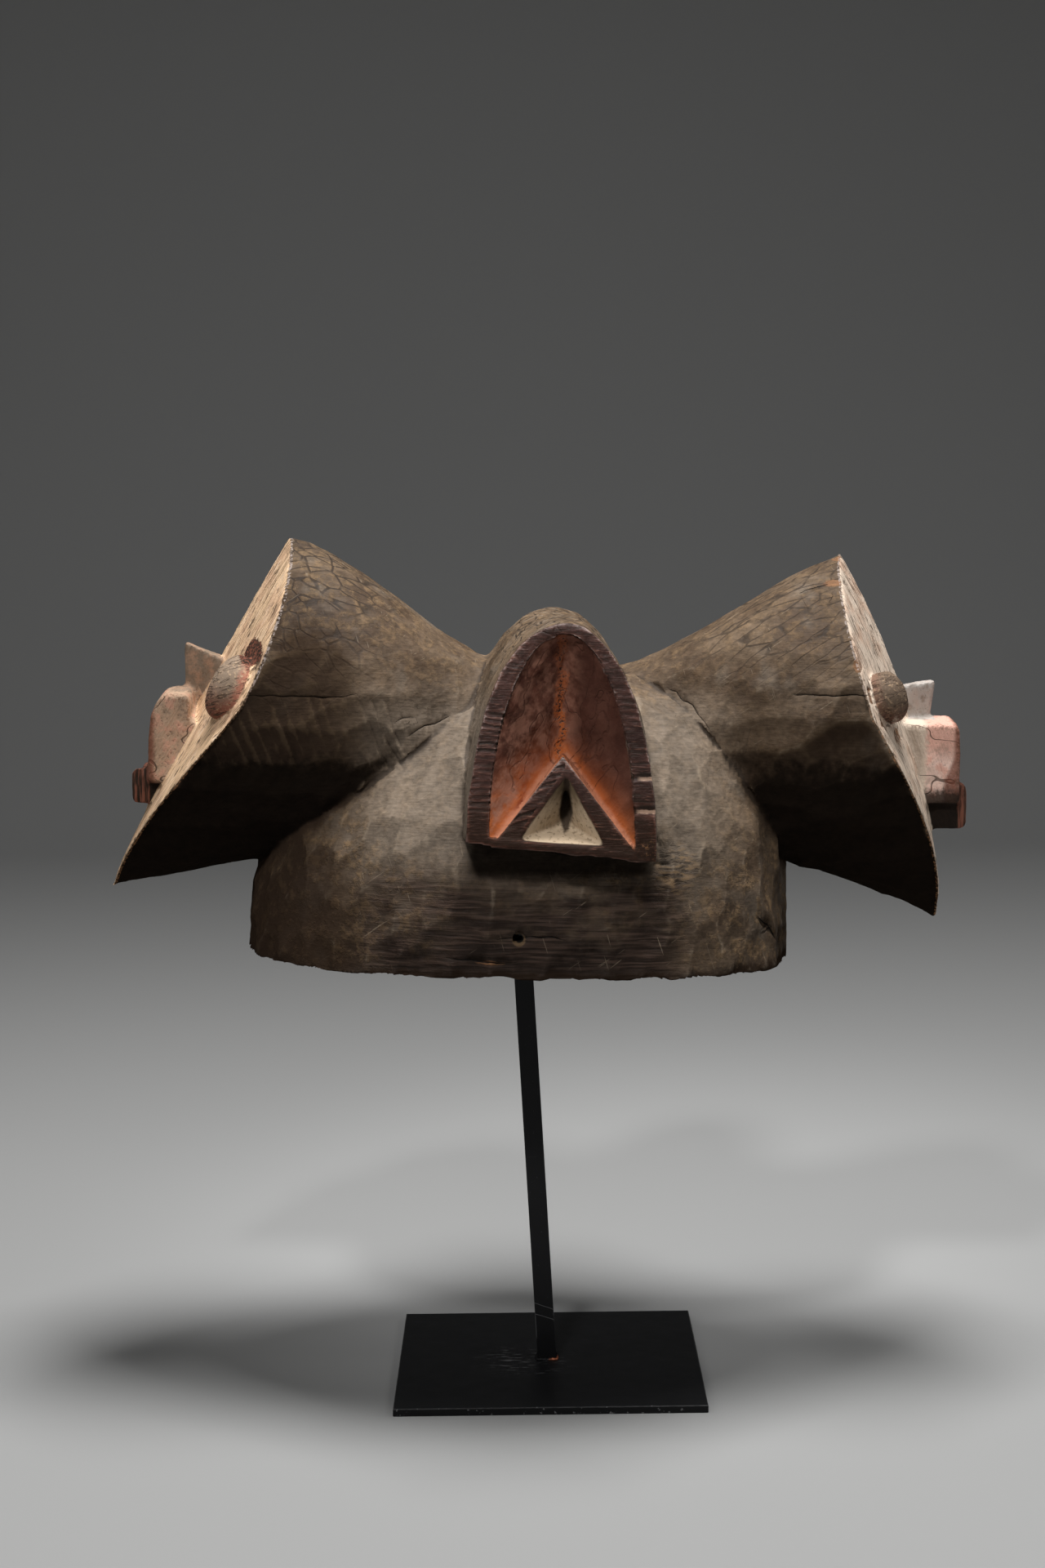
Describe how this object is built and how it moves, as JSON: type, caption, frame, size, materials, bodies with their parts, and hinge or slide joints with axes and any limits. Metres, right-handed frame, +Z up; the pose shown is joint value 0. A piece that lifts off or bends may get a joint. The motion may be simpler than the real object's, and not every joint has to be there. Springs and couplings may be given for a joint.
{
  "type": "janus helmet mask",
  "caption": "Carved wooden helmet mask with opposed leaf-shaped faces and large hollowed ears, held above a square foot plate by a leaning steel bar.",
  "frame": {"origin": "centre of the foot plate's underside", "axes": "+Z up; +X from the left face to the right face as seen by a viewer of the front ear; +Y away from that viewer, so the front ear looks along -Y"},
  "size_m": [0.4472, 0.238, 0.444],
  "materials": {
    "carved_wood": "hand-cut, weathered grey-brown, with red ochre, orange, dark aubergine and cream kaolin paint",
    "black_steel": "satin black, worn bright on some edges"
  },
  "bodies": {
    "root": {"helmet_mask": "carved_wood", "stand_bar": "black_steel", "stand_plate": "black_steel"}
  },
  "joints": []
}
